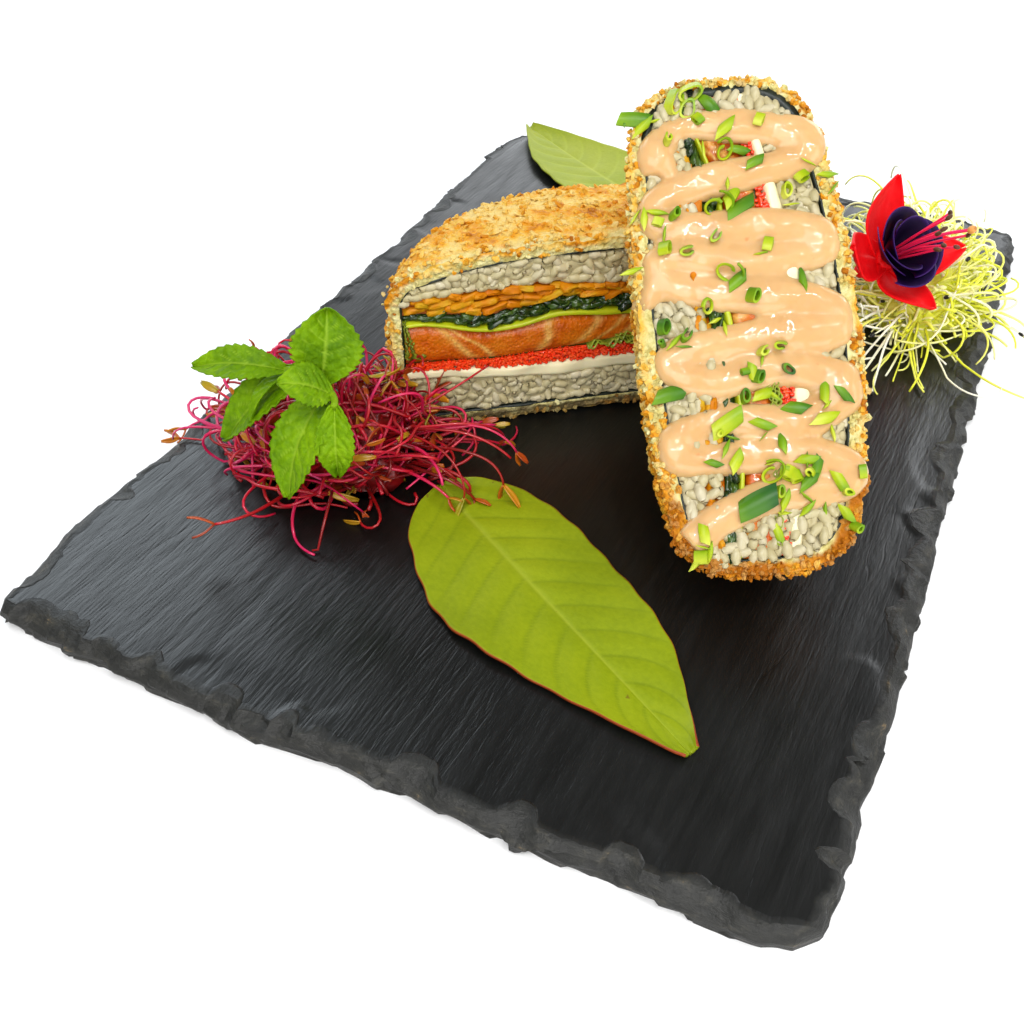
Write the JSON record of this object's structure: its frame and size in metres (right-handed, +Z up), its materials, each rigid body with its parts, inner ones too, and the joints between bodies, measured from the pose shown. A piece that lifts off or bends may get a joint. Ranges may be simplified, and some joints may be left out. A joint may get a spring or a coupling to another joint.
{
  "type": "plated sushi burger",
  "caption": "Breaded sushi burger cut in half on a rectangular slate board, one half lying and the other leaning on it, with sauce, leaves, sprouts, mint and a flower.",
  "frame": {"origin": "centre of the slate board's underside", "axes": "+Z up, +Y along the board's long side, toward the end with the flower"},
  "size_m": [0.2089, 0.3095, 0.1026],
  "materials": {
    "slate_board": "dark cleft slate with chipped edges",
    "crust": "fried crumb, golden to orange-brown",
    "nori": "dried seaweed sheet, near black",
    "rice_top": "moist, translucent cooked rice",
    "crisps": "baked crisps, orange-brown",
    "seaweed": "wet dark green seaweed strips",
    "avocado": "soft avocado, yellow-green",
    "salmon": "raw salmon with pale fat lines",
    "lettuce": "thin curled lettuce",
    "roe": "small glossy red-orange beads",
    "cream": "soft off-white cream cheese",
    "rice_bottom": "moist, translucent cooked rice",
    "leaning_sauce": "thick glossy pale peach sauce",
    "leaf_front": "fresh yellow-green leaf with a thin red margin",
    "leaf_back": "fresh pale green leaf",
    "beet_sprouts": "magenta and crimson sprout stems",
    "leek_sprouts": "white to yellow-green sprout threads with black seeds",
    "mint_sprig": "bright green toothed leaves",
    "flower_sepals": "waxy red sepals",
    "flower_corolla": "velvety dark purple petals",
    "flower_pistil": "pink-red pistil"
  },
  "bodies": {
    "root": {"slate_board": "slate_board", "lying_crust": "crust", "lying_nori": "nori", "lying_rice_top": "rice_top", "lying_crisps": "crisps", "lying_seaweed": "seaweed", "lying_avocado": "avocado", "lying_salmon": "salmon", "lying_lettuce": "lettuce", "lying_roe": "roe", "lying_cream": "cream", "lying_rice_bottom": "rice_bottom", "leaning_crust": "crust", "leaning_nori": "nori", "leaning_rice_top": "rice_top", "leaning_crisps": "crisps", "leaning_seaweed": "seaweed", "leaning_avocado": "avocado", "leaning_salmon": "salmon", "leaning_lettuce": "lettuce", "leaning_roe": "roe", "leaning_cream": "cream", "leaning_rice_bottom": "rice_bottom", "leaning_sauce": "leaning_sauce", "leaf_front": "leaf_front", "leaf_back": "leaf_back", "beet_sprouts": "beet_sprouts", "leek_sprouts": "leek_sprouts", "mint_sprig": "mint_sprig", "flower_sepals": "flower_sepals", "flower_corolla": "flower_corolla", "flower_pistil": "flower_pistil"}
  },
  "joints": []
}
